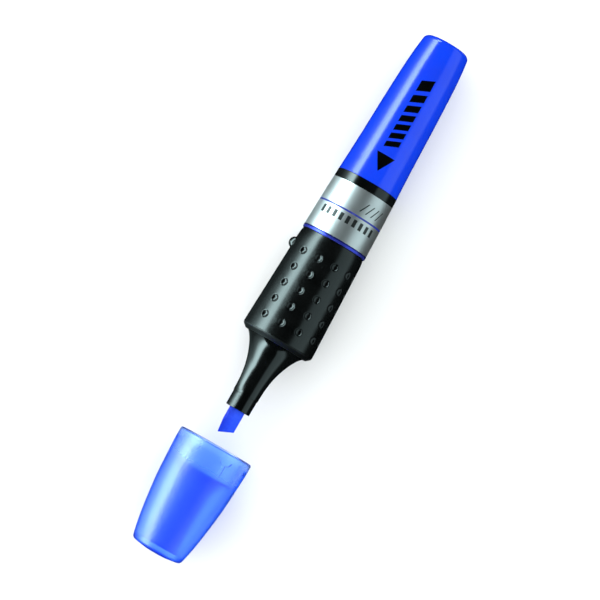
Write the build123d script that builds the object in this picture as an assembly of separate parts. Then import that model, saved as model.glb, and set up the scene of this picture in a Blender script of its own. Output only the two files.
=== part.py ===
from build123d import *
import math
import os

# Capped liquid-ink highlighter, cap pulled off and lying in line with the pen.
# Millimetres. The pen's axis is parallel to X, nib towards +X, and the part lies on Z = 0.
# Every piece is drawn about the X axis with the flat rear end at X = 0, so a "station" is the
# distance from the rear end. save() then moves it into the part's frame.

os.makedirs("parts", exist_ok=True)

# Driving dimensions along the pen
BARREL_END = 48.3
BLACK_RING_END = 51.2
SILVER_BAND_END = 67.85
ACCENT_RING_END = 69.0
GRIP_END = 102.5
COLLAR_END = 103.9
SNAP_STEP = 121.7
NOSE_END = 126.6
NIB_SHORT_CORNER = 133.15
NIB_LONG_CORNER = 135.15
CAP_MOUTH = 139.0
CAP_END = 175.65

# Driving radii
CAP_MOUTH_R = 12.05
BARREL_REAR_R = 7.35
BARREL_END_R = 9.95
RING_END_R = 10.04
BAND_END_R = 10.58
GRIP_END_R = 11.74

# Fits, walls and edges
FIT = 0.02
EDGE_BREAK = 0.12
BARREL_WALL = 1.3
CORE_BORE_R = 7.9
CORE_SPIGOT_R = 8.6
CORE_SPIGOT_START = 38.0
CORE_REAR_SEAT_R = 9.42
CORE_FRONT_SEAT_R = 9.92
CORE_GRIP_R = 9.2
COLLAR_BORE_R = 8.92

# Place of the part in its own frame: middle of its length, resting on its widest radius
REAR_X = -CAP_END / 2
AXIS_Z = CAP_MOUTH_R


def save(name, solid):
    solid = Location((REAR_X, 0, AXIS_Z)) * solid
    solid.label = name
    export_step(solid, f"parts/{name}.step")


def turned(*lines):
    """Closed outline of (station, radius) lines, turned about the pen's axis."""
    edges = [edge for line in lines for edge in line.edges()]
    return revolve(make_face(edges), axis=Axis.X)


def tube(start, end, outer_r, inner_r=0.0):
    corners = [(start, inner_r), (start, outer_r), (end, outer_r), (end, inner_r)]
    return turned(Polyline(*corners, close=True))


def cone_ring(start, end, start_r, end_r, inner_start_r, inner_end_r):
    """Ring with a tapered outside and a tapered bore, outer edges broken."""
    ring = turned(
        Polyline(
            (start, inner_start_r),
            (start, start_r),
            (end, end_r),
            (end, inner_end_r),
            close=True,
        )
    )
    outer = [e for e in ring.edges().filter_by(GeomType.CIRCLE) if e.radius > inner_end_r + 0.2]
    return chamfer(outer, EDGE_BREAK)


def seal_ring(station, groove_r, outer_r):
    """O-ring that fills the space between its groove and the wall round it."""
    section_r = (outer_r - groove_r) / 2 - FIT
    middle_r = (outer_r + groove_r) / 2
    section = make_face(CenterArc((station, middle_r), section_r, 0, 360).edges())
    return revolve(section, axis=Axis.X)


def seat_r(station):
    """Radius of the grip core's tapered seat, which carries the three rings."""
    share = (station - BARREL_END) / (ACCENT_RING_END - BARREL_END)
    return CORE_REAR_SEAT_R + share * (CORE_FRONT_SEAT_R - CORE_REAR_SEAT_R)


# ---- Rear barrel: blue moulding, closed and flat at the rear, open at the front ----

BARREL_CORNER_R = 1.7
BARREL_TAPER = [(0, BARREL_REAR_R), (5.4, 8.02), (15.0, 8.66), (29.4, 9.19), (BARREL_END, BARREL_END_R)]
BARREL_FLOOR = 1.6


def barrel():
    outside = turned(
        Polyline((BARREL_END, BARREL_END_R), (BARREL_END, 0), (0, 0), (0, BARREL_REAR_R)),
        Spline(BARREL_TAPER),
    )
    rear_rim = outside.edges().filter_by(GeomType.CIRCLE).sort_by(Axis.X)[0]
    outside = fillet(rear_rim, BARREL_CORNER_R)
    front_rim = outside.edges().filter_by(GeomType.CIRCLE).sort_by(Axis.X)[-1]
    outside = chamfer(front_rim, EDGE_BREAK)
    tail = [(s, r - BARREL_WALL) for s, r in BARREL_TAPER[1:4]]
    hollow = turned(
        Polyline(
            tail[-1],
            (CORE_SPIGOT_START, tail[-1][1]),
            (CORE_SPIGOT_START, CORE_SPIGOT_R + FIT),
            (BARREL_END, CORE_SPIGOT_R + FIT),
            (BARREL_END, 0),
            (BARREL_FLOOR, 0),
            (BARREL_FLOOR, tail[0][1] - 0.5),
            tail[0],
        ),
        Spline(tail),
    )
    return outside - hollow


# ---- Rings between barrel and grip ----

PRINTED_LINE = (58.85, 59.4)
PRINTED_LINE_DEPTH = 0.06


def black_ring():
    return cone_ring(
        BARREL_END,
        BLACK_RING_END,
        BARREL_END_R,
        RING_END_R,
        seat_r(BARREL_END) + FIT,
        seat_r(BLACK_RING_END) + FIT,
    )


def silver_band():
    """Metal sleeve, slightly barrelled, with a fine engraved line that is filled with colour."""
    middle = (BLACK_RING_END + SILVER_BAND_END) / 2
    middle_r = (RING_END_R + BAND_END_R) / 2 + 0.05
    band = turned(
        ThreePointArc((BLACK_RING_END, RING_END_R), (middle, middle_r), (SILVER_BAND_END, BAND_END_R)),
        Polyline(
            (SILVER_BAND_END, BAND_END_R),
            (SILVER_BAND_END, seat_r(SILVER_BAND_END) + FIT),
            (BLACK_RING_END, seat_r(BLACK_RING_END) + FIT),
            (BLACK_RING_END, RING_END_R),
        ),
    )
    line_start, line_end = PRINTED_LINE
    line_r = middle_r - PRINTED_LINE_DEPTH
    return band - tube(line_start, line_end, middle_r + 1, line_r)


def accent_ring():
    return cone_ring(
        SILVER_BAND_END,
        ACCENT_RING_END,
        BAND_END_R + 0.04,
        BAND_END_R + 0.02,
        seat_r(SILVER_BAND_END) + FIT,
        seat_r(ACCENT_RING_END) + FIT,
    )


# ---- Grip core: the stiff tube that joins barrel, rings, grip and nose ----

STUD_STATION = 74.6
STUD_SHANK_R = 1.2


def grip_core():
    core = turned(
        Polyline(
            (CORE_SPIGOT_START, CORE_BORE_R),
            (CORE_SPIGOT_START, CORE_SPIGOT_R),
            (BARREL_END, CORE_SPIGOT_R),
            (BARREL_END, CORE_REAR_SEAT_R),
            (ACCENT_RING_END, CORE_FRONT_SEAT_R),
            (ACCENT_RING_END, CORE_GRIP_R),
            (GRIP_END, CORE_GRIP_R),
            (GRIP_END, CORE_BORE_R),
            close=True,
        )
    )
    return core - side_pin(STUD_SHANK_R + FIT, 0, CORE_GRIP_R + 1)


def side_pin(radius, inner_r, outer_r):
    """Round pin that points to -Y at the stud's station, from one radius out to another."""
    pin = Plane((STUD_STATION, -inner_r, 0), z_dir=(0, -1, 0)) * Cylinder(
        radius, outer_r - inner_r, align=(Align.CENTER, Align.CENTER, Align.MIN)
    )
    return pin


# ---- Anti-roll stud: glossy dome pressed through the grip into the core ----

STUD_REACH = 12.0
STUD_R = 1.92


def anti_roll_stud():
    dome_centre = STUD_REACH - STUD_R
    dome = Pos(STUD_STATION, -dome_centre, 0) * Sphere(STUD_R)
    dome -= side_pin(STUD_R + 1, 0, dome_centre)
    body = side_pin(STUD_R, CORE_GRIP_R + FIT, dome_centre)
    shank = side_pin(STUD_SHANK_R, CORE_BORE_R + 0.1, CORE_GRIP_R + FIT)
    return dome + body + shank


# ---- Grip sleeve: soft rubber with rows of blind dimples ----

GRIP_SWELL = [(ACCENT_RING_END, 10.2), (70.1, 10.43), (72.0, 10.61), (74.0, 10.68)]
GRIP_EDGE_R = 0.25
DIMPLE_COLUMNS = 12
DIMPLE_FIRST_ANGLE = -8.6
DIMPLE_FIRST_STATION = 75.7
DIMPLE_PITCH = 5.5
DIMPLE_ROWS = 5
DIMPLE_R = 1.22
DIMPLE_DEPTH = 0.7
DIMPLE_RIM_R = 0.25
STUD_ANGLE = -90
PLAIN_LANE_HALF = 30


def grip_r(station):
    """Grip's outer radius along its straight flare, which starts where the swell ends."""
    start, start_r = GRIP_SWELL[-1]
    return start_r + (station - start) * grip_slope()


def grip_slope():
    start, start_r = GRIP_SWELL[-1]
    return (GRIP_END_R - start_r) / (GRIP_END - start)


def dimple_places():
    """(station, angle) of each dimple. Angle 0 faces +Z and 90 faces +Y. The stud's lane is plain."""
    places = []
    for row in range(DIMPLE_ROWS):
        station = DIMPLE_FIRST_STATION + row * DIMPLE_PITCH
        for column in range(DIMPLE_COLUMNS):
            angle = DIMPLE_FIRST_ANGLE + column * 360 / DIMPLE_COLUMNS
            off_stud = (angle - STUD_ANGLE + 180) % 360 - 180
            if abs(off_stud) > PLAIN_LANE_HALF:
                places.append((station, angle))
    return places


def grip_sleeve():
    sleeve = turned(
        Spline(GRIP_SWELL, tangents=[(1, 0.25), (1, grip_slope())]),
        Polyline(
            GRIP_SWELL[-1],
            (GRIP_END, GRIP_END_R),
            (GRIP_END, CORE_GRIP_R + FIT),
            (ACCENT_RING_END, CORE_GRIP_R + FIT),
            GRIP_SWELL[0],
        ),
    )
    front_rim = sleeve.edges().filter_by(GeomType.CIRCLE).sort_by(SortBy.RADIUS)[-1]
    sleeve = fillet(front_rim, GRIP_EDGE_R)
    ball_r = (DIMPLE_R**2 + DIMPLE_DEPTH**2) / (2 * DIMPLE_DEPTH)
    balls = []
    for station, angle in dimple_places():
        centre_r = grip_r(station) + ball_r - DIMPLE_DEPTH
        outward = Vector(0, math.sin(math.radians(angle)), math.cos(math.radians(angle)))
        place = Plane(outward * centre_r + Vector(station, 0, 0), x_dir=outward * -1, z_dir=(1, 0, 0))
        balls.append(place * Sphere(ball_r))
    sleeve -= balls
    curved = sleeve.edges().filter_by(GeomType.BSPLINE)
    rims = [e for e in curved if e.bounding_box().size.X < 2 * DIMPLE_R + 0.2]
    sleeve = fillet(rims, DIMPLE_RIM_R)
    return sleeve - side_pin(STUD_R + FIT, 0, STUD_REACH + 1)


# ---- Front collar: glossy chamfered ring that closes the front of the grip ----


def front_collar():
    return turned(
        Polyline(
            (GRIP_END, COLLAR_BORE_R),
            (GRIP_END, GRIP_END_R - 0.1),
            (GRIP_END + 0.3, GRIP_END_R - 0.18),
            (COLLAR_END - 0.25, 10.6),
            (COLLAR_END, 10.35),
            (COLLAR_END, COLLAR_BORE_R),
            close=True,
        )
    )


# ---- Nib: porous chisel, slanted edge, with a round tang that meets the wick ----

NIB_WIDTH = 5.0
NIB_THICKNESS = 3.8
NIB_CORNER_R = 0.9
NIB_BODY_START = 112.0
NIB_TANG_START = 106.0
NIB_TANG_R = 1.8
NIB_EDGE_THICKNESS = 1.1
NIB_BEVEL_ANGLE = 17.0
NIB_TRIM = 0.55
NIB_TRIM_LENGTH = 4.5


def nib_section(clearance=0.0):
    return RectangleRounded(NIB_WIDTH + 2 * clearance, NIB_THICKNESS + 2 * clearance, NIB_CORNER_R)


def nib_bar(start, end, clearance=0.0):
    """Bar of the nib's section along the axis, its width across Y."""
    plane = Plane((start, 0, 0), x_dir=(0, 1, 0), z_dir=(1, 0, 0))
    return extrude(plane * nib_section(clearance), end - start)


def nib():
    half = NIB_WIDTH / 2
    slant = math.degrees(math.atan2(NIB_LONG_CORNER - NIB_SHORT_CORNER, NIB_WIDTH - NIB_TRIM))
    blank = nib_bar(NIB_BODY_START, NIB_LONG_CORNER + 1)
    outline = Polyline(
        (NIB_BODY_START - 1, -half - 1),
        (NIB_BODY_START - 1, half + 1),
        (NIB_SHORT_CORNER, half + 1),
        (NIB_SHORT_CORNER, half),
        (NIB_LONG_CORNER, -half + NIB_TRIM),
        (NIB_LONG_CORNER - NIB_TRIM_LENGTH, -half - 0.01),
        (NIB_LONG_CORNER - NIB_TRIM_LENGTH, -half - 1),
        close=True,
    )
    side_shape = extrude(make_face(outline.edges()), NIB_THICKNESS, both=True)
    tip = blank & side_shape
    edge_middle = ((NIB_SHORT_CORNER + NIB_LONG_CORNER) / 2, NIB_TRIM / 2, 0)
    reach = 8.0
    for side in (1, -1):
        wedge_outline = Polyline(
            (1, side * NIB_EDGE_THICKNESS / 2),
            (0, side * NIB_EDGE_THICKNESS / 2),
            (-reach, side * (NIB_EDGE_THICKNESS / 2 + reach * math.tan(math.radians(NIB_BEVEL_ANGLE)))),
            (-reach, side * reach),
            (1, side * reach),
            close=True,
        )
        wedge = extrude(Plane.XZ * make_face(wedge_outline.edges()), 6, both=True)
        tip -= Pos(*edge_middle) * Rot(0, 0, slant) * wedge
    tang = tube(NIB_TANG_START, NIB_BODY_START, NIB_TANG_R)
    return tip + tang


# ---- Nose cone: trumpet-shaped nib holder with a snap step, a snout and a rear spigot ----

TRUMPET = [(COLLAR_END, 9.4), (105.85, 7.84), (108.55, 6.49), (112.15, 5.23), (116.65, 4.38), (SNAP_STEP - 0.8, 4.14)]
SNOUT_R = 3.98
SNOUT_END_R = 3.94
SNOUT_EDGE_R = 0.25
SPIGOT_START = 95.0
SPIGOT_R = CORE_BORE_R - FIT
SPIGOT_BORE_R = 6.3
SPIGOT_GROOVE = (97.0, 98.4)
SPIGOT_GROOVE_R = 6.9
NIB_COLLAR_START = 111.0
NIB_COLLAR_END = 121.0
NIB_COLLAR_R = 3.25
WICK_R = 1.5


def nose_cone():
    groove_start, groove_end = SPIGOT_GROOVE
    solid = turned(
        Polyline(
            (SPIGOT_START, 0),
            (SPIGOT_START, SPIGOT_R),
            (groove_start, SPIGOT_R),
            (groove_start, SPIGOT_GROOVE_R),
            (groove_end, SPIGOT_GROOVE_R),
            (groove_end, SPIGOT_R),
            (GRIP_END, SPIGOT_R),
            (GRIP_END, COLLAR_BORE_R - FIT),
            (COLLAR_END, COLLAR_BORE_R - FIT),
            TRUMPET[0],
        ),
        Spline(TRUMPET),
        Polyline(
            TRUMPET[-1],
            (SNAP_STEP, TRUMPET[-1][1]),
            (SNAP_STEP + 0.1, SNOUT_R),
            (NOSE_END, SNOUT_END_R),
            (NOSE_END, 0),
            (SPIGOT_START, 0),
        ),
    )
    front_rim = solid.edges().filter_by(GeomType.CIRCLE).sort_by(Axis.X)[-1]
    solid = fillet(front_rim, SNOUT_EDGE_R)
    chamber = turned(
        Polyline(
            (SPIGOT_START, 0),
            (SPIGOT_START, SPIGOT_BORE_R),
            (103.5, SPIGOT_BORE_R),
            (109.0, NIB_COLLAR_R + FIT),
            (NIB_COLLAR_END, NIB_COLLAR_R + FIT),
            (NIB_COLLAR_END, 0),
            close=True,
        )
    )
    return solid - chamber - nib_bar(NIB_COLLAR_END - 1, NOSE_END + 1, 0.05)


def nib_collar():
    """Plastic sleeve that holds the nib in the nose."""
    sleeve = tube(NIB_COLLAR_START, NIB_COLLAR_END, NIB_COLLAR_R)
    sleeve -= tube(NIB_COLLAR_START, NIB_BODY_START, NIB_TANG_R + FIT)
    return sleeve - nib_bar(NIB_BODY_START, NIB_COLLAR_END + 1, FIT)


def section_seal():
    return seal_ring(sum(SPIGOT_GROOVE) / 2, SPIGOT_GROOVE_R, CORE_BORE_R)


# ---- Ink side: tank, ink, stopper with its seal, wick and finned buffer ----

TANK_REAR = 3.0
TANK_END = 54.0
TANK_REAR_R = 5.9
TANK_R = 7.3
TANK_STRAIGHT_FROM = 24.0
TANK_WALL = 0.9
TANK_FLANGE = 1.2
PLUG_START = 48.0
PLUG_FLANGE_END = 55.0
PLUG_GROOVE = (50.2, 51.6)
PLUG_GROOVE_R = 5.4
WICK_START = 44.0
ULLAGE_END = 4.2
BUFFER_START = 57.0
BUFFER_END = 93.0
BUFFER_FIN_R = 7.6
BUFFER_HUB_R = 2.7
FIN_PITCH = 1.5
FIN_THICKNESS = 0.55
BUFFER_SLOT = 0.6


def ink_tank():
    outside = turned(
        Polyline(
            (TANK_REAR, 0),
            (TANK_REAR, TANK_REAR_R),
            (TANK_STRAIGHT_FROM, TANK_R),
            (TANK_END - TANK_FLANGE, TANK_R),
            (TANK_END - TANK_FLANGE, CORE_BORE_R - FIT),
            (TANK_END, CORE_BORE_R - FIT),
            (TANK_END, 0),
            close=True,
        )
    )
    rear_rim = outside.edges().filter_by(GeomType.CIRCLE).sort_by(Axis.X)[0]
    outside = fillet(rear_rim, 0.8)
    return outside - tank_space(TANK_REAR + TANK_WALL, TANK_END, 0)


def tank_space(start, end, gap):
    """The tank's inside between two stations, drawn in by a gap from its wall."""
    return turned(
        Polyline(
            (start, 0),
            (start, TANK_REAR_R - TANK_WALL - gap),
            (TANK_STRAIGHT_FROM, TANK_R - TANK_WALL - gap),
            (end, TANK_R - TANK_WALL - gap),
            (end, 0),
            close=True,
        )
    )


def ink_charge():
    ink = tank_space(ULLAGE_END, PLUG_START - FIT, FIT)
    return ink - tube(WICK_START - FIT, PLUG_START, WICK_R + FIT)


def tank_plug():
    groove_start, groove_end = PLUG_GROOVE
    plug_r = TANK_R - TANK_WALL - FIT
    return turned(
        Polyline(
            (PLUG_START, WICK_R + FIT),
            (PLUG_START, plug_r),
            (groove_start, plug_r),
            (groove_start, PLUG_GROOVE_R),
            (groove_end, PLUG_GROOVE_R),
            (groove_end, plug_r),
            (TANK_END, plug_r),
            (TANK_END, TANK_R),
            (PLUG_FLANGE_END, TANK_R),
            (PLUG_FLANGE_END, WICK_R + FIT),
            close=True,
        )
    )


def plug_seal():
    return seal_ring(sum(PLUG_GROOVE) / 2, PLUG_GROOVE_R, TANK_R - TANK_WALL)


def feed_wick():
    return tube(WICK_START, NIB_TANG_START, WICK_R)


def ink_regulator():
    """Hub round the wick with thin fins that hold overflow ink, slotted along one side."""
    buffer = tube(PLUG_FLANGE_END, BUFFER_END, BUFFER_HUB_R, WICK_R + FIT)
    fins = int((BUFFER_END - BUFFER_START) / FIN_PITCH)
    for fin in range(fins):
        start = BUFFER_START + fin * FIN_PITCH
        buffer += tube(start, start + FIN_THICKNESS, BUFFER_FIN_R, BUFFER_HUB_R - FIT)
    slot_length = BUFFER_END - BUFFER_START + 2
    slot = Pos(BUFFER_START - 1, 0, BUFFER_HUB_R) * Box(
        slot_length, BUFFER_SLOT, BUFFER_FIN_R, align=(Align.MIN, Align.CENTER, Align.MIN)
    )
    return buffer - slot


# ---- Cap: translucent shell with vent pads in its mouth, and an inner cap ----

CAP_TAPER = [(CAP_MOUTH, 12.0), (141.1, CAP_MOUTH_R), (147.05, 11.8), (154.2, 11.39), (161.35, 10.62), (168.5, 9.56)]
CAP_TAPER_END = (174.9, 8.2)
CAP_CROWN = [(175.2, 6.8), (CAP_END, 4.0)]
CAP_WALL = 1.35
CAP_RIM_R = 0.6
CAP_MOUTH_BORE_R = 11.0
CAP_FLOOR = CAP_END - 1.4
PAD_START = 141.4
PAD_END = 147.6
PAD_BORE_R = 10.0
PAD_COUNT = 6
PAD_FIRST_GAP_ANGLE = 27.0
PAD_GAP = 0.8
PAD_CORNER_R = 1.5


def cap_wall_r(share_of_wall):
    """The cap's taper, moved in from its outside by a share of the wall's thickness."""
    return [(s, r - share_of_wall * CAP_WALL) for s, r in CAP_TAPER + [CAP_TAPER_END]]


def pad_gap():
    """Cutter for one gap between pads: a narrow slot that flares out at its mouth end."""
    flare_end = PAD_START + PAD_CORNER_R
    half = PAD_GAP / 2
    wide = half + PAD_CORNER_R
    outline = [
        Polyline((flare_end, half), (PAD_END + 0.01, half), (PAD_END + 0.01, -half), (flare_end, -half)),
        RadiusArc((flare_end, -half), (PAD_START, -wide), PAD_CORNER_R),
        Polyline((PAD_START, -wide), (PAD_START - 0.01, -wide), (PAD_START - 0.01, wide), (PAD_START, wide)),
        RadiusArc((PAD_START, wide), (flare_end, half), PAD_CORNER_R),
    ]
    face = make_face([edge for line in outline for edge in line.edges()])
    return extrude(Plane.XY.offset(PAD_BORE_R - 2) * face, 4)


def cap_shell():
    outside = turned(
        Spline(cap_wall_r(0)),
        Polyline(CAP_TAPER_END, *CAP_CROWN, (CAP_END, 0), (CAP_MOUTH, 0), CAP_TAPER[0]),
    )
    circles = outside.edges().filter_by(GeomType.CIRCLE).sort_by(Axis.X)
    mouth_rim, shoulder_rim = circles[0], circles[1]
    outside = fillet(shoulder_rim, 1.3)
    mouth_rim = outside.edges().filter_by(GeomType.CIRCLE).sort_by(Axis.X)[0]
    outside = fillet(mouth_rim, CAP_RIM_R)
    inner = cap_wall_r(1)
    hollow = turned(
        Spline(inner[1:-1]),
        Polyline(
            inner[-2],
            (CAP_FLOOR - 1.2, 7.3),
            (CAP_FLOOR, 6.0),
            (CAP_FLOOR, 0),
            (CAP_MOUTH, 0),
            (CAP_MOUTH, CAP_MOUTH_BORE_R),
            inner[1],
        ),
    )
    pads = tube(PAD_START, PAD_END, 11.2, PAD_BORE_R)
    for gap in range(PAD_COUNT):
        angle = PAD_FIRST_GAP_ANGLE + gap * 360 / PAD_COUNT
        pads -= Rot(-angle, 0, 0) * pad_gap()
    return (outside - hollow) + (pads & outside)


LINER_FLANGE_END = 148.4
LINER_R = 5.7
LINER_BORE_R = 4.7
LINER_FUNNEL_R = 6.8
LINER_SEAL = (154.2, 156.0)
LINER_SEAL_R = 4.35
LINER_FLOOR = 172.9
LINER_END = 173.9


def cap_liner():
    """Inner cap: flange snapped behind the pads, funnel, seal bead and a closed tube."""
    seal_start, seal_end = LINER_SEAL
    liner = turned(
        Polyline(
            (PAD_END + FIT, LINER_FUNNEL_R),
            (PAD_END + FIT, 10.3),
            (LINER_FLANGE_END, 10.3),
            (LINER_FLANGE_END, LINER_FUNNEL_R + 1),
            (153.6, LINER_R),
            (LINER_END - 0.8, LINER_R),
            (LINER_END, LINER_R - 0.8),
            (LINER_END, 0),
            (LINER_FLOOR, 0),
            (LINER_FLOOR, LINER_BORE_R),
            (seal_end + 0.5, LINER_BORE_R),
            (seal_end, LINER_SEAL_R),
            (seal_start, LINER_SEAL_R),
            (153.4, LINER_BORE_R),
            close=True,
        )
    )
    return liner


PIECES = {
    "barrel": barrel,
    "black_ring": black_ring,
    "silver_band": silver_band,
    "accent_ring": accent_ring,
    "grip_core": grip_core,
    "grip_sleeve": grip_sleeve,
    "anti_roll_stud": anti_roll_stud,
    "front_collar": front_collar,
    "nose_cone": nose_cone,
    "nib_collar": nib_collar,
    "nib": nib,
    "section_seal": section_seal,
    "ink_tank": ink_tank,
    "ink_charge": ink_charge,
    "tank_plug": tank_plug,
    "plug_seal": plug_seal,
    "feed_wick": feed_wick,
    "ink_regulator": ink_regulator,
    "cap_shell": cap_shell,
    "cap_liner": cap_liner,
}

for piece_name, make in PIECES.items():
    save(piece_name, make())
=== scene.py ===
"""The looks of a capped highlighter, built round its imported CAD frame. All in metres: the pen lies
along X with its nib towards +X, and its cap is off and in line ahead of the nib."""

from math import atan, cos, pi, radians, sin

import bmesh
import bpy
from mathutils import Matrix, Vector, noise


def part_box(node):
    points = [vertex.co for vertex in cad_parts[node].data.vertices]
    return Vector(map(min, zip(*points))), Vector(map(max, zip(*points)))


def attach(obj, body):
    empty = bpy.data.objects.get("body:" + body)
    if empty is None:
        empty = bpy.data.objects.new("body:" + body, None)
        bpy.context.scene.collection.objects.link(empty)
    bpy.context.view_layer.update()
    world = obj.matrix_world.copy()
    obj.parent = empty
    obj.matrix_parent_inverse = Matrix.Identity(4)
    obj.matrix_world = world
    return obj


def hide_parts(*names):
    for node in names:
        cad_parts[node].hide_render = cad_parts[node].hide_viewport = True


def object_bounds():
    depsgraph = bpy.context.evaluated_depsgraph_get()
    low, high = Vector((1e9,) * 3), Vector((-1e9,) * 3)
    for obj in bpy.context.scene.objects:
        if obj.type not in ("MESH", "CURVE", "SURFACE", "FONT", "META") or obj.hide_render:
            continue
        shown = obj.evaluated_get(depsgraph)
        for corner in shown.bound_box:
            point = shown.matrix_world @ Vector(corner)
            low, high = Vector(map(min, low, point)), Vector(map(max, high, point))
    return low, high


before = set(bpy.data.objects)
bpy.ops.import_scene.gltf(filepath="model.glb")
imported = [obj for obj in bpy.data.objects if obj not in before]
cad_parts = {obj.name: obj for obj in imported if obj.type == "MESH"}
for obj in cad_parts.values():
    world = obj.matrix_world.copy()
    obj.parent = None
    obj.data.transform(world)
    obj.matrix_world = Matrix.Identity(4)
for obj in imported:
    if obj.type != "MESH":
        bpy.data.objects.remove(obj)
cad_box = [list(corner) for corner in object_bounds()]


# ---- Ink tank, plug and regulator -------------------------------------------------------------
# A thin tube of natural polypropylene that holds the liquid ink, slid into the barrel from the
# front. Its plug and the finned ink regulator are moulded in the same slightly milky plastic.

MM = 0.001
milky_white = (0.74, 0.75, 0.70, 1.0)
milky_shade = (0.60, 0.62, 0.56, 1.0)


def add(tree, kind, sockets=None, **settings):
    """Adds a node. A socket takes a plain value or the output of another node."""
    made = tree.nodes.new(kind)
    for name, value in settings.items():
        setattr(made, name, value)
    for name, value in (sockets or {}).items():
        if isinstance(value, bpy.types.NodeSocket):
            tree.links.new(value, made.inputs[name])
        else:
            made.inputs[name].default_value = value
    return made


def calc(tree, operation, *values):
    """One step of arithmetic on values that change over the surface."""
    return add(tree, "ShaderNodeMath", dict(enumerate(values)), operation=operation).outputs[0]


def ramp(tree, value, low, high, at_low=0.0, at_high=1.0):
    """Maps value from low..high to at_low..at_high, and holds it there beyond the two ends."""
    sockets = {"Value": value, "From Min": low, "From Max": high, "To Min": at_low, "To Max": at_high}
    return add(tree, "ShaderNodeMapRange", sockets).outputs["Result"]


def between(tree, share, first, second):
    """The first colour where share is 0, and the second where it is 1."""
    sockets = {0: share, 6: first, 7: second}
    return add(tree, "ShaderNodeMix", sockets, data_type="RGBA").outputs[2]


def shared_effect(name, inputs, outputs):
    """An empty node group with named numbers in and out, returned with its two end nodes."""
    group = bpy.data.node_groups.new(name, "ShaderNodeTree")
    for label, usual in inputs.items():
        socket = group.interface.new_socket(label, in_out="INPUT", socket_type="NodeSocketFloat")
        socket.default_value = usual
    for label in outputs:
        group.interface.new_socket(label, in_out="OUTPUT", socket_type="NodeSocketFloat")
    return group, group.nodes.new("NodeGroupInput"), group.nodes.new("NodeGroupOutput")


# The skin of a moulding: fine grain, slow patches where the melt flowed and cooled, and scuffs that
# run along the pen from handling.
SCUFF_STRETCH = (0.05, 1.0, 1.0)
HANDLED_FROM = (0.50, 0.62)
SCUFF_FROM = (0.64, 0.72)
PATCH_EDGE = (0.35, 0.65)
skin_group, skin_in, skin_out = shared_effect(
    "moulded_skin",
    {"Grain Scale": 4000.0, "Patch Scale": 160.0, "Scuff Scale": 2600.0},
    ("Grain", "Patches", "Scuffs"),
)
place = add(skin_group, "ShaderNodeTexCoord").outputs["Object"]
grain = add(
    skin_group,
    "ShaderNodeTexNoise",
    {"Vector": place, "Scale": skin_in.outputs["Grain Scale"], "Detail": 3.0},
).outputs["Fac"]
patches = add(
    skin_group,
    "ShaderNodeTexNoise",
    {"Vector": place, "Scale": skin_in.outputs["Patch Scale"], "Detail": 2.0},
).outputs["Fac"]
drawn_out = add(
    skin_group, "ShaderNodeVectorMath", {0: place, 1: SCUFF_STRETCH}, operation="MULTIPLY"
).outputs[0]
lines = add(
    skin_group,
    "ShaderNodeTexNoise",
    {"Vector": drawn_out, "Scale": skin_in.outputs["Scuff Scale"], "Detail": 4.0},
).outputs["Fac"]
handled = ramp(skin_group, patches, *HANDLED_FROM)
scuffs = calc(skin_group, "MULTIPLY", ramp(skin_group, lines, *SCUFF_FROM), handled)
for label, value in (("Grain", grain), ("Patches", patches), ("Scuffs", scuffs)):
    skin_group.links.new(value, skin_out.inputs[label])


class Finish:
    """A material whose colour, roughness and grain start from the moulded skin."""

    def __init__(self, name, colour, shade, roughness, grain_scale, grain_depth, scuffing=0.04):
        self.material = bpy.data.materials.new(name)
        self.material.use_nodes = True
        self.tree = self.material.node_tree
        self.shader = self.tree.nodes["Principled BSDF"]
        self.skin = add(
            self.tree, "ShaderNodeGroup", {"Grain Scale": grain_scale}, node_tree=skin_group
        )
        uneven = ramp(self.tree, self.skin.outputs["Patches"], *PATCH_EDGE)
        self.colour = between(self.tree, uneven, colour, shade)
        matt = ramp(self.tree, uneven, 0.0, 1.0, roughness[0], roughness[1])
        scuffed = calc(self.tree, "MULTIPLY", self.skin.outputs["Scuffs"], scuffing)
        self.roughness = calc(self.tree, "ADD", matt, scuffed)
        self.height = self.skin.outputs["Grain"]
        self.depth = grain_depth

    def set(self, **sockets):
        """Sets plain values on the shader, with _ for a space in a socket's name."""
        for name, value in sockets.items():
            self.shader.inputs[name.replace("_", " ")].default_value = value
        return self

    def on(self, *nodes):
        """Joins the last of the colour, roughness and grain to the shader, and gives it to nodes."""
        bump = add(
            self.tree, "ShaderNodeBump", {"Height": self.height, "Strength": 1.0, "Distance": self.depth}
        )
        self.tree.links.new(self.colour, self.shader.inputs["Base Color"])
        self.tree.links.new(self.roughness, self.shader.inputs["Roughness"])
        self.tree.links.new(bump.outputs["Normal"], self.shader.inputs["Normal"])
        for node in nodes:
            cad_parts[node].material_slots[0].material = self.material
        return self


natural = Finish("natural_polypropylene", milky_white, milky_shade, (0.30, 0.42), 3000.0, 0.012 * MM)
natural.set(IOR=1.49, Subsurface_Weight=0.25, Subsurface_Scale=1.5 * MM)
natural.on("ink_tank", "tank_plug", "ink_regulator")


# ---- Ink --------------------------------------------------------------------------------------
# The free charge of water-based fluorescent ink in the tank. It is a still, wet body of liquid, so
# it is smooth, with only faint clouds of denser dye.

ink_blue = (0.010, 0.070, 0.80, 1.0)
ink_deep = (0.004, 0.030, 0.55, 1.0)
ink = Finish("fluorescent_ink", ink_blue, ink_deep, (0.03, 0.06), 500.0, 0.002 * MM, scuffing=0.0)
ink.set(IOR=1.34, Transmission_Weight=0.4)
ink.on("ink_charge")


# ---- Seals ------------------------------------------------------------------------------------
# The two O-rings, one on the tank's plug and one on the section, are moulded nitrile rubber. They
# are matt, with the dull bloom of talc that keeps them from sticking.

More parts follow.
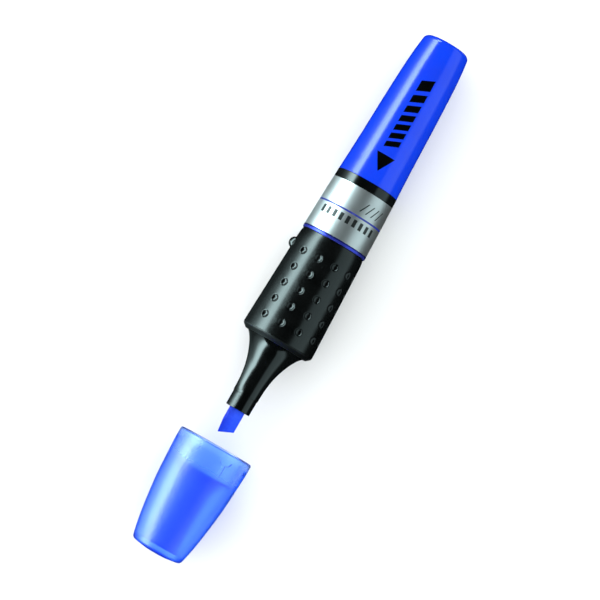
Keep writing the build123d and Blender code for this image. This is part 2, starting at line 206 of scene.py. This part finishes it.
nitrile = (0.016, 0.016, 0.017, 1.0)
talc_bloom = (0.045, 0.045, 0.043, 1.0)
seals = Finish("nitrile_rubber", nitrile, talc_bloom, (0.55, 0.72), 5000.0, 0.02 * MM, scuffing=0.0)
seals.on("plug_seal", "section_seal")


# ---- Wick -------------------------------------------------------------------------------------
# The feed that carries ink from the tank to the nib is a rod of bonded polyester fibres, all drawn
# along the pen. It is soaked, darkest at its core.

soaked = (0.012, 0.085, 0.62, 1.0)
dry_fibre = (0.20, 0.34, 0.78, 1.0)
FIBRE_STRETCH = (0.03, 1.0, 1.0)
FIBRE_SCALE = 7000.0
FIBRE_DEPTH = 0.04 * MM
GRAIN_UNDER_FIBRES = 0.4


def fibres(finish, stretch, scale, depth):
    """Lays drawn fibres over a finish: they shade its colour and stand in its relief."""
    tree = finish.tree
    place = add(tree, "ShaderNodeTexCoord").outputs["Object"]
    drawn = add(tree, "ShaderNodeVectorMath", {0: place, 1: stretch}, operation="MULTIPLY").outputs[0]
    strands = add(tree, "ShaderNodeTexNoise", {"Vector": drawn, "Scale": scale, "Detail": 2.0})
    grain_left = calc(tree, "MULTIPLY", finish.height, GRAIN_UNDER_FIBRES)
    finish.height = calc(tree, "ADD", strands.outputs["Fac"], grain_left)
    finish.depth = depth
    return strands.outputs["Fac"]


wick = Finish("bonded_fibre", soaked, dry_fibre, (0.70, 0.90), 6000.0, 0.03 * MM, scuffing=0.0)
fibres(wick, FIBRE_STRETCH, FIBRE_SCALE, FIBRE_DEPTH)
wick.on("feed_wick")


# ---- Nib --------------------------------------------------------------------------------------
# The chisel nib is cut from a bar of bonded polyester felt. Its cut faces are porous and its edges
# are softly broken, so it is remeshed finely and its pores are pressed into the mesh. Its -Y side is
# painted a deeper blue as painted shade.

NIB_VOXEL = 0.11 * MM
PORE_SIZE = 0.35 * MM
PORE_DEPTH = 0.035 * MM
PORE_STRETCH = 3.0
FINE_PORES = 2.7
FINE_SHARE = 0.35
NIB_FIBRE_STRETCH = (0.10, 1.0, 1.0)
NIB_FIBRE_SCALE = 9000.0
NIB_FIBRE_DEPTH = 0.025 * MM
STRAND_EDGE = (0.40, 0.62)
PAINTED_SHADE_EDGE = (-2.4 * MM, 0.6 * MM)
nib_blue = (0.008, 0.046, 0.62, 1.0)
nib_wet = (0.004, 0.030, 0.55, 1.0)
nib_strand = (0.018, 0.080, 0.76, 1.0)
nib_painted_shade = (0.002, 0.022, 0.46, 1.0)

cut_bar = bmesh.new()
cut_bar.from_mesh(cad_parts["nib"].data)
bmesh.ops.remove_doubles(cut_bar, verts=cut_bar.verts, dist=0.0005 * MM)
felt_mesh = bpy.data.meshes.new("felt_nib")
cut_bar.to_mesh(felt_mesh)
cut_bar.free()
felt = bpy.data.objects.new("felt_nib", felt_mesh)
bpy.context.scene.collection.objects.link(felt)
fine = felt.modifiers.new("fine_mesh", "REMESH")
fine.mode = "VOXEL"
fine.voxel_size = NIB_VOXEL
fine.use_smooth_shade = True
broken = felt.modifiers.new("broken_edges", "SMOOTH")
broken.factor = 0.5
broken.iterations = 2
evaluated = felt.evaluated_get(bpy.context.evaluated_depsgraph_get())
pressed = bmesh.new()
pressed.from_mesh(evaluated.to_mesh())
evaluated.to_mesh_clear()
felt.modifiers.clear()
pressed.normal_update()
for vertex in pressed.verts:
    spot = Vector((vertex.co.x / PORE_STRETCH, vertex.co.y, vertex.co.z)) / PORE_SIZE
    pore = max(0.0, noise.noise(spot)) + FINE_SHARE * max(0.0, noise.noise(spot * FINE_PORES))
    vertex.co -= vertex.normal * PORE_DEPTH * pore
pressed.to_mesh(felt_mesh)
pressed.free()
felt_mesh.polygons.foreach_set("use_smooth", [True] * len(felt_mesh.polygons))

nib_finish = Finish("inked_felt", nib_blue, nib_wet, (0.60, 0.80), 9000.0, 0.02 * MM, scuffing=0.0)
nib_strands = fibres(nib_finish, NIB_FIBRE_STRETCH, NIB_FIBRE_SCALE, NIB_FIBRE_DEPTH)
stranded = ramp(nib_finish.tree, nib_strands, *STRAND_EDGE)
nib_finish.colour = between(nib_finish.tree, stranded, nib_finish.colour, nib_strand)
# Painted shade: the nib's -Y side is coloured a deeper blue, fading out across its width.
nib_place = add(nib_finish.tree, "ShaderNodeTexCoord").outputs["Object"]
across_nib = add(nib_finish.tree, "ShaderNodeSeparateXYZ", {0: nib_place}).outputs["Y"]
painted_shade_side = ramp(nib_finish.tree, across_nib, *PAINTED_SHADE_EDGE, 1.0, 0.0)
nib_finish.colour = between(nib_finish.tree, painted_shade_side, nib_finish.colour, nib_painted_shade)
nib_finish.set(Specular_IOR_Level=0.15)
nib_finish.on()
felt_mesh.materials.append(nib_finish.material)
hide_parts("nib")
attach(felt, "pen")


# ---- Grip core and nib collar -----------------------------------------------------------------
# The section's core, which everything screws or snaps on to, and the small collar that grips the
# nib. Both are black ABS with the satin face of a plain tool.

core_black = (0.010, 0.011, 0.012, 1.0)
core_grey = (0.020, 0.021, 0.022, 1.0)
core = Finish("satin_black_abs", core_black, core_grey, (0.38, 0.50), 3500.0, 0.015 * MM)
core.on("grip_core", "nib_collar")


# ---- Nose cone, front collar, stud and black ring ---------------------------------------------
# Black ABS mouldings. The trumpet-shaped nose, the stud that stops the pen rolling and the ring in
# front of the barrel come gloss from polished tools. The collar that clamps the grip is satin.

gloss_deep = (0.0008, 0.0010, 0.0010, 1.0)
gloss_soft = (0.0018, 0.0023, 0.0023, 1.0)
gloss = Finish("gloss_black_abs", gloss_deep, gloss_soft, (0.10, 0.15), 900.0, 0.003 * MM, scuffing=0.10)
gloss.set(IOR=1.52)
gloss.on("nose_cone", "anti_roll_stud", "black_ring")
collar = Finish("satin_collar_abs", gloss_deep, gloss_soft, (0.38, 0.44), 2500.0, 0.004 * MM)
collar.set(Specular_IOR_Level=0.35)
collar.on("front_collar")


# ---- Grip sleeve ------------------------------------------------------------------------------
# The dimpled sleeve is a black thermoplastic rubber, moulded over the core. Its face is finely
# eroded, which spreads the light, and it holds a little pale dust from the hand.

rubber_black = (0.0006, 0.0008, 0.0008, 1.0)
rubber_dust = (0.0018, 0.0023, 0.0023, 1.0)
rubber = Finish(
    "grip_rubber", rubber_black, rubber_dust, (0.20, 0.24), 5200.0, 0.006 * MM, scuffing=0.06
)
rubber.set(IOR=1.5)
rubber.on("grip_sleeve")


# ---- Accent ring ------------------------------------------------------------------------------
# A narrow aluminium hoop, dyed blue and lacquered. It is trapped between the silver band and the
# grip, and its rear edge is painted a darker blue: painted shade.

REAR_END = cad_box[0][0]
AXIS_HEIGHT = (cad_box[0][2] + cad_box[1][2]) / 2
dyed_blue = (0.055, 0.075, 0.62, 1.0)
dyed_dark = (0.040, 0.055, 0.50, 1.0)
painted_shadow_blue = (0.010, 0.014, 0.20, 1.0)
ACCENT_SHADE_WIDTH = 0.45

# Where a point is on the pen: its distance from the rear end in millimetres, and its angle round
# the axis in degrees from straight up, positive towards +Y.
lines_group, _, lines_out = shared_effect("pen_lines", {}, ("Station", "Angle"))
parts = add(
    lines_group, "ShaderNodeSeparateXYZ", {0: add(lines_group, "ShaderNodeTexCoord").outputs["Object"]}
)
from_rear = calc(lines_group, "SUBTRACT", parts.outputs["X"], REAR_END)
station = calc(lines_group, "DIVIDE", from_rear, MM)
above_axis = calc(lines_group, "SUBTRACT", parts.outputs["Z"], AXIS_HEIGHT)
turned = calc(lines_group, "ARCTAN2", parts.outputs["Y"], above_axis)
lines_group.links.new(station, lines_out.inputs["Station"])
lines_group.links.new(calc(lines_group, "DEGREES", turned), lines_out.inputs["Angle"])


def stations(*names):
    """The two ends of CAD nodes, in millimetres from the pen's rear end."""
    low = min(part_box(name)[0].x for name in names)
    high = max(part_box(name)[1].x for name in names)
    return (low - REAR_END) / MM, (high - REAR_END) / MM


accent_start, _ = stations("accent_ring")
accent = Finish("dyed_aluminium", dyed_blue, dyed_dark, (0.24, 0.30), 2500.0, 0.003 * MM, scuffing=0.08)
on_pen = add(accent.tree, "ShaderNodeGroup", node_tree=lines_group)
# Painted shade: a strip along the ring's rear edge is coloured a darker blue.
painted_shade_edge = calc(accent.tree, "LESS_THAN", on_pen.outputs["Station"], accent_start + ACCENT_SHADE_WIDTH)
accent.colour = between(accent.tree, painted_shade_edge, accent.colour, painted_shadow_blue)
accent.set(Metallic=0.75)
accent.on("accent_ring")


# ---- Silver band ------------------------------------------------------------------------------
# A rolled aluminium band in satin silver lacquer. A groove round it is filled with blue, and plain
# black bars are printed on it: thin slanted strokes, and a row of even blocks.

silver = (0.68, 0.67, 0.68, 1.0)
silver_shade = (0.63, 0.62, 0.63, 1.0)
groove_blue = (0.012, 0.020, 0.24, 1.0)
print_black = (0.006, 0.007, 0.007, 1.0)
METAL_SHARE = 0.95
GROOVE = (58.85, 59.40)
BAND_RADIUS = 10.3
MM_PER_DEGREE = BAND_RADIUS * pi / 180
SLANT_STROKES = {"start": 15.0, "end": 60.0, "middle": 55.9, "half": 1.6}
BLOCK_ROW = {"start": -52.0, "end": 60.0, "middle": 61.5, "half": 1.2}

# Printed strokes: a row of bars from 0 to Length along the print, each as wide as Ink Share of its
# pitch and sheared by Slant. A Crowding above 1 brings them closer together along the row.
stroke_group, stroke_in, stroke_out = shared_effect(
    "printed_strokes",
    {
        "Along": 0.0,
        "Across": 0.0,
        "Length": 10.0,
        "Half Height": 1.0,
        "Count": 5.0,
        "Crowding": 1.0,
        "Slant": 0.0,
        "Ink Share": 0.6,
    },
    ("Ink",),
)
leaning = calc(
    stroke_group, "MULTIPLY_ADD", stroke_in.outputs["Across"], stroke_in.outputs["Slant"],
    stroke_in.outputs["Along"],
)
share = calc(stroke_group, "DIVIDE", leaning, stroke_in.outputs["Length"])
forward = calc(stroke_group, "MAXIMUM", share, 0.0)
pitch = calc(stroke_group, "POWER", forward, stroke_in.outputs["Crowding"])
within = calc(stroke_group, "FRACT", calc(stroke_group, "MULTIPLY", pitch, stroke_in.outputs["Count"]))
inked = calc(stroke_group, "LESS_THAN", within, stroke_in.outputs["Ink Share"])
started = calc(stroke_group, "GREATER_THAN", share, 0.0)
unfinished = calc(stroke_group, "LESS_THAN", share, 1.0)
tall = calc(
    stroke_group, "LESS_THAN", calc(stroke_group, "ABSOLUTE", stroke_in.outputs["Across"]),
    stroke_in.outputs["Half Height"],
)
in_row = calc(stroke_group, "MULTIPLY", calc(stroke_group, "MULTIPLY", started, unfinished), tall)
stroke_group.links.new(calc(stroke_group, "MULTIPLY", in_row, inked), stroke_out.inputs["Ink"])

band = Finish("satin_silver", silver, silver_shade, (0.35, 0.39), 3000.0, 0.003 * MM, scuffing=0.05)
on_band = add(band.tree, "ShaderNodeGroup", node_tree=lines_group)


def band_print(row, count, slant, ink_share):
    """One row of strokes that runs round the band."""
    turn = calc(band.tree, "SUBTRACT", on_band.outputs["Angle"], row["start"])
    sockets = {
        "Along": calc(band.tree, "MULTIPLY", turn, MM_PER_DEGREE),
        "Across": calc(band.tree, "SUBTRACT", on_band.outputs["Station"], row["middle"]),
        "Length": (row["end"] - row["start"]) * MM_PER_DEGREE,
        "Half Height": row["half"],
        "Count": count,
        "Slant": slant,
        "Ink Share": ink_share,
    }
    return add(band.tree, "ShaderNodeGroup", sockets, node_tree=stroke_group).outputs["Ink"]


band_ink = calc(
    band.tree,
    "MAXIMUM",
    band_print(SLANT_STROKES, count=4.0, slant=0.55, ink_share=0.20),
    band_print(BLOCK_ROW, count=9.0, slant=0.0, ink_share=0.50),
)
past_start = calc(band.tree, "GREATER_THAN", on_band.outputs["Station"], GROOVE[0])
before_end = calc(band.tree, "LESS_THAN", on_band.outputs["Station"], GROOVE[1])
groove = calc(band.tree, "MULTIPLY", past_start, before_end)
band.colour = between(band.tree, groove, band.colour, groove_blue)
band.colour = between(band.tree, band_ink, band.colour, print_black)
bare = calc(band.tree, "SUBTRACT", 1.0, calc(band.tree, "MAXIMUM", groove, band_ink))
band.tree.links.new(calc(band.tree, "MULTIPLY", bare, METAL_SHARE), band.shader.inputs["Metallic"])
band.on("silver_band")


# ---- Barrel -----------------------------------------------------------------------------------
# The barrel is a tapered tube of bright blue polypropylene, closed at the rear and polished. It is
# pad printed in black with a row of slanted bars, closer towards the nib, and a wedge that points
# to it.

barrel_blue = (0.0012, 0.036, 0.62, 1.0)
barrel_shade = (0.0010, 0.032, 0.58, 1.0)
barrel_ink = (0.0004, 0.0005, 0.0006, 1.0)
BARREL_RADIUS = 9.0
PRINT_TURN = 3.0
PRINT_ROUGHER = 0.03
BAR_ROW = {"start": 13.3, "end": 37.0, "half": 2.05}
WEDGE = {"start": 39.0, "end": 44.4, "half": 2.9}

barrel = Finish(
    "barrel_blue", barrel_blue, barrel_shade, (0.12, 0.16), 1200.0, 0.003 * MM, scuffing=0.06
)
on_barrel = add(barrel.tree, "ShaderNodeGroup", node_tree=lines_group)
barrel_turn = calc(barrel.tree, "SUBTRACT", on_barrel.outputs["Angle"], PRINT_TURN)
barrel_across = calc(barrel.tree, "MULTIPLY", barrel_turn, BARREL_RADIUS * pi / 180)
bars = add(
    barrel.tree,
    "ShaderNodeGroup",
    {
        "Along": calc(barrel.tree, "SUBTRACT", on_barrel.outputs["Station"], BAR_ROW["start"]),
        "Across": barrel_across,
        "Length": BAR_ROW["end"] - BAR_ROW["start"],
        "Half Height": BAR_ROW["half"],
        "Count": 7.0,
        "Crowding": 1.25,
        "Slant": 0.45,
        "Ink Share": 0.66,
    },
    node_tree=stroke_group,
).outputs["Ink"]
wedge_left = calc(barrel.tree, "SUBTRACT", WEDGE["end"], on_barrel.outputs["Station"])
wedge_half = calc(barrel.tree, "MULTIPLY", wedge_left, WEDGE["half"] / (WEDGE["end"] - WEDGE["start"]))
in_wedge = calc(barrel.tree, "LESS_THAN", calc(barrel.tree, "ABSOLUTE", barrel_across), wedge_half)
past_base = calc(barrel.tree, "GREATER_THAN", on_barrel.outputs["Station"], WEDGE["start"])
wedge = calc(barrel.tree, "MULTIPLY", in_wedge, past_base)
barrel_print = calc(barrel.tree, "MAXIMUM", bars, wedge)
barrel.colour = between(barrel.tree, barrel_print, barrel.colour, barrel_ink)
print_rougher = calc(barrel.tree, "MULTIPLY", barrel_print, PRINT_ROUGHER)
barrel.roughness = calc(barrel.tree, "ADD", barrel.roughness, print_rougher)
barrel.on("barrel")


# ---- Cap liner --------------------------------------------------------------------------------
# The inner cap that seals round the nose, moulded in a deeper blue polypropylene. Its funnel leads
# the nose into the bore, and a flange at its mouth fixes it inside the shell.

liner_blue = (0.002, 0.155, 0.85, 1.0)
liner_shade = (0.002, 0.138, 0.80, 1.0)
liner = Finish("liner_blue", liner_blue, liner_shade, (0.28, 0.36), 3000.0, 0.008 * MM)
liner.set(IOR=1.49)
liner.on("cap_liner")


# ---- Cap shell --------------------------------------------------------------------------------
# The outer cap is a clear-tinted, faintly frosted blue polypropylene, with six pads inside its
# mouth that ride on the collar and leave vents between them. The liner shows through it. Its mouth
# zone is smoother and painted a lighter blue, and a band at the rim paler still: both painted light.

cap_mouth, cap_end = stations("cap_shell")
clear_blue = (0.27, 0.54, 1.00, 1.0)
clear_shade = (0.245, 0.51, 1.00, 1.0)
TINT_DEPTH = 230.0
tint_passed = (0.35, 0.48, 0.97, 1.0)
edge_blue = (0.012, 0.12, 0.95, 1.0)
mouth_painted_light_blue = (0.37, 0.60, 1.00, 1.0)
MOUTH_ZONE = (cap_mouth + 6.5, cap_mouth + 9.5)
MOUTH_SMOOTHER = 0.18
rim_painted_light = (0.48, 0.71, 1.00, 1.0)
RIM = (cap_mouth + 1.5, cap_mouth + 2.6)
crown_blue = (0.10, 0.30, 0.97, 1.0)
THICK_CROWN = (cap_end - 3.25, cap_end - 2.05)
EDGE_FACING = (0.30, 0.70)
shell = Finish("cap_clear_blue", clear_blue, clear_shade, (0.30, 0.33), 1500.0, 0.001 * MM, scuffing=0.0)
on_cap = add(shell.tree, "ShaderNodeGroup", node_tree=lines_group).outputs["Station"]
# Painted light: the mouth zone is coloured a lighter blue. It is also made smoother.
beyond_mouth_zone = ramp(shell.tree, on_cap, *MOUTH_ZONE)
shell.colour = between(shell.tree, beyond_mouth_zone, mouth_painted_light_blue, shell.colour)
thick = ramp(shell.tree, on_cap, *THICK_CROWN)
shell.colour = between(shell.tree, thick, shell.colour, crown_blue)
frosting = calc(shell.tree, "MULTIPLY_ADD", beyond_mouth_zone, MOUTH_SMOOTHER, 1.0 - MOUTH_SMOOTHER)
shell.roughness = calc(shell.tree, "MULTIPLY", shell.roughness, frosting)
side_on = add(shell.tree, "ShaderNodeLayerWeight", {"Blend": 0.5}).outputs["Facing"]
past_rim = ramp(shell.tree, on_cap, *RIM)
edge = calc(shell.tree, "MULTIPLY", ramp(shell.tree, side_on, *EDGE_FACING), past_rim)
shell.colour = between(shell.tree, edge, shell.colour, edge_blue)
# Painted light: a band next to the rim is coloured a paler blue.
shell.colour = between(shell.tree, past_rim, rim_painted_light, shell.colour)
shell.set(IOR=1.46, Transmission_Weight=0.98, Coat_Weight=0.2, Coat_Roughness=0.14, Coat_IOR=1.46)
shell.on("cap_shell")
dye = add(shell.tree, "ShaderNodeVolumeAbsorption", {"Color": tint_passed, "Density": TINT_DEPTH})
shell.tree.links.new(dye.outputs[0], shell.tree.nodes["Material Output"].inputs["Volume"])
# Clear plastic throws almost no shadow on the liner inside it.
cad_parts["cap_shell"].visible_shadow = False


# ---- Floor ------------------------------------------------------------------------------------
# A plain matt white card for the pen to lie on, wide enough to fill every view. It is a shade darker
# to the camera than to the pen, so that it doesn't wash out the outlines, and like a light table it
# glows faintly to rays that have come through the cap.

FLOOR_HALF = 1.6
FLOOR_DROP = 0.2 * MM
FLOOR_EXPOSURE = 0.90
LIGHT_TABLE = 0.85
floor_white = (0.90, 0.90, 0.90, 1.0)
floor_pale = (0.88, 0.88, 0.88, 1.0)
floor_seen = tuple(FLOOR_EXPOSURE * part for part in floor_white[:3]) + (1.0,)

sweep = bmesh.new()
bmesh.ops.create_grid(sweep, x_segments=2, y_segments=2, size=FLOOR_HALF)
floor_mesh = bpy.data.meshes.new("studio_floor")
sweep.to_mesh(floor_mesh)
sweep.free()
floor = bpy.data.objects.new("studio_floor", floor_mesh)
floor.location.z = cad_box[0][2] - FLOOR_DROP
bpy.context.scene.collection.objects.link(floor)
card = Finish("matt_white_card", floor_white, floor_pale, (0.85, 0.95), 1500.0, 0.01 * MM, scuffing=0.0)
card_ray = add(card.tree, "ShaderNodeLightPath").outputs
card.colour = between(card.tree, card_ray["Is Camera Ray"], card.colour, floor_seen)
card.set(Specular_IOR_Level=0.0, Emission_Color=floor_white)
table_glow = calc(card.tree, "MULTIPLY", card_ray["Is Transmission Ray"], LIGHT_TABLE)
card.tree.links.new(table_glow, card.shader.inputs["Emission Strength"])
card.on()
floor_mesh.materials.append(card.material)
floor.visible_glossy = False


# ---- Light tent -------------------------------------------------------------------------------
# What the pen's gloss reflects: a long tube of cloth round the axis, dark overhead, with a wide dim
# panel on the right and a bright strip on the left that fades towards the floor. The strip narrows
# behind the pen, is hung lower beside the cap, and is hung higher beside the nose.

TENT_RADIUS = 1.4
TENT_HALF_LENGTH = 3.0
TENT_SIDES = 96
TENT_BRIGHTEST = 14.0
TENT_TINT = (0.73, 1.0, 1.02)
STRIP_MIDDLE = -60.0
STRIP_NARROWS = 0.40
STRIP_DROPS = 16.0
STRIP_RISES = 9.0
DROP_KEPT = 0.7
# Stretches over which the strip changes, in metres ahead of the pen's rear end.
NARROWING_ENDS = (-0.20, 0.10)
SNOUT_STARTS = (0.10, 0.125)
SNOUT_ENDS = (0.142, 0.152)
CAP_STARTS = (0.148, 0.17)
CAP_ENDS = (0.30, 0.50)
FAR_AHEAD = (0.55, 0.75)
# Angle round the axis in degrees from straight up, positive to the right, and its brightness there.
TENT_CLOTH = (
    (-128.0, 0.010),
    (-108.0, 0.045),
    (-95.0, 0.10),
    (-85.0, 0.28),
    (-76.0, 0.58),
    (-66.0, 0.84),
    (-56.0, 0.92),
    (-48.0, 0.84),
    (-43.5, 0.30),
    (-38.0, 0.032),
    (-28.0, 0.005),
    (-18.0, 0.001),
    (34.0, 0.001),
    (42.0, 0.060),
    (84.0, 0.078),
    (98.0, 0.002),
)

tube = bmesh.new()
bmesh.ops.create_cone(
    tube,
    segments=TENT_SIDES,
    radius1=TENT_RADIUS,
    radius2=TENT_RADIUS,
    depth=2 * TENT_HALF_LENGTH,
    matrix=Matrix.Translation((0.0, 0.0, AXIS_HEIGHT)) @ Matrix.Rotation(pi / 2, 4, "Y"),
)
tent_mesh = bpy.data.meshes.new("light_tent")
tube.to_mesh(tent_mesh)
tube.free()
tent = bpy.data.objects.new("light_tent", tent_mesh)
bpy.context.scene.collection.objects.link(tent)
cloth = bpy.data.materials.new("lit_cloth")
cloth.use_nodes = True
weave = cloth.node_tree
weave.nodes.remove(weave.nodes["Principled BSDF"])
on_tent = add(weave, "ShaderNodeGroup", node_tree=lines_group)
ahead = calc(weave, "MULTIPLY", on_tent.outputs["Station"], MM)
on_left = calc(weave, "LESS_THAN", on_tent.outputs["Angle"], 0.0)
narrow_behind = ramp(weave, ahead, *NARROWING_ENDS, STRIP_NARROWS, 0.0)
narrowing = calc(weave, "MULTIPLY", narrow_behind, on_left)
past_cap = ramp(weave, ahead, *CAP_ENDS, 1.0, DROP_KEPT)
by_cap = calc(weave, "MULTIPLY", ramp(weave, ahead, *CAP_STARTS), past_cap)
past_snout = ramp(weave, ahead, *SNOUT_ENDS, 1.0, 0.0)
by_snout = calc(weave, "MULTIPLY", ramp(weave, ahead, *SNOUT_STARTS), past_snout)
by_nose = calc(weave, "ADD", by_snout, ramp(weave, ahead, *FAR_AHEAD))
rise = calc(weave, "MULTIPLY", by_nose, -STRIP_RISES)
shift = calc(weave, "MULTIPLY_ADD", by_cap, STRIP_DROPS, rise)
lowering = calc(weave, "MULTIPLY", shift, on_left)
off_strip = calc(weave, "SUBTRACT", on_tent.outputs["Angle"], STRIP_MIDDLE)
squeezed = calc(weave, "MULTIPLY_ADD", off_strip, narrowing, on_tent.outputs["Angle"])
round_tent = ramp(weave, calc(weave, "ADD", squeezed, lowering), -180.0, 180.0)
glow = add(weave, "ShaderNodeValToRGB", {"Fac": round_tent})
first, last = glow.color_ramp.elements
first.color = last.color = (0.0, 0.0, 0.0, 1.0)
for angle, brightness in TENT_CLOTH:
    step = glow.color_ramp.elements.new((angle + 180.0) / 360.0)
    step.color = tuple(brightness * part for part in TENT_TINT) + (1.0,)
lit = add(weave, "ShaderNodeEmission", {"Color": glow.outputs["Color"], "Strength": TENT_BRIGHTEST})
weave.links.new(lit.outputs[0], weave.nodes["Material Output"].inputs["Surface"])
tent_mesh.materials.append(cloth)
tent.visible_camera = False
tent.visible_diffuse = False
tent.visible_transmission = False
tent.visible_shadow = False


# ---- Studio light -----------------------------------------------------------------------------
# A white room that lights everything softly, and one broad soft lamp on the left that gives the
# faces their shape. Neither shows in gloss, which sees only the tent.

ROOM_WHITE = (0.96, 1.0, 1.0, 1.0)
ROOM_STRENGTH = 1.52
LAMP_ANGLE = -58.0
LAMP_REACH = 0.55
LAMP_SIZE = (1.1, 0.40)
LAMP_RADIANCE = 1.5

room = bpy.data.worlds.new("studio_room")
room.use_nodes = True
bpy.context.scene.world = room
walls = room.node_tree.nodes["Background"]
walls.inputs["Color"].default_value = ROOM_WHITE
walls.inputs["Strength"].default_value = ROOM_STRENGTH
room.cycles_visibility.glossy = False

lamp = bpy.data.lights.new("soft_lamp", "AREA")
lamp.shape = "RECTANGLE"
lamp.size, lamp.size_y = LAMP_SIZE
lamp.energy = LAMP_RADIANCE * pi * LAMP_SIZE[0] * LAMP_SIZE[1]
soft_lamp = bpy.data.objects.new("soft_lamp", lamp)
away = Vector((0.0, sin(radians(LAMP_ANGLE)), cos(radians(LAMP_ANGLE))))
along = Vector((1.0, 0.0, 0.0))
facing = Matrix((along, away.cross(along), away)).transposed().to_4x4()
lamp_at = Vector((0.0, 0.0, AXIS_HEIGHT)) + away * LAMP_REACH
soft_lamp.matrix_world = Matrix.Translation(lamp_at) @ facing
soft_lamp.visible_glossy = False
bpy.context.scene.collection.objects.link(soft_lamp)
bpy.context.scene.view_settings.view_transform = "Standard"


# ---- Camera -----------------------------------------------------------------------------------
# It looks down on the pen from nearly straight above, a little towards the nib, and is turned so
# that the rear end is at the upper right and the cap at the lower left.

CAMERA_AT = Vector((0.0377, -0.0002, 0.802))
CAMERA_AIM = Vector((0.0009, -0.0002, AXIS_HEIGHT))
CAMERA_TURN = 30.0
VIEW_WIDTH = 0.180

back = (CAMERA_AT - CAMERA_AIM).normalized()
towards_rear = Vector((-1.0, 0.0, 0.0))
upward = (towards_rear - back * towards_rear.dot(back)).normalized()
sideways = upward.cross(back)
turn = Matrix.Rotation(radians(CAMERA_TURN), 3, back)
camera_data = bpy.data.cameras.new("camera")
camera_data.sensor_width = 36.0
camera_data.angle = 2 * atan(VIEW_WIDTH / 2 / (CAMERA_AT - CAMERA_AIM).length)
camera_data.clip_start = 0.01
camera = bpy.data.objects.new("camera", camera_data)
axes = Matrix((turn @ sideways, turn @ upward, back)).transposed().to_4x4()
camera.matrix_world = Matrix.Translation(CAMERA_AT) @ axes
bpy.context.scene.collection.objects.link(camera)
bpy.context.scene.camera = camera
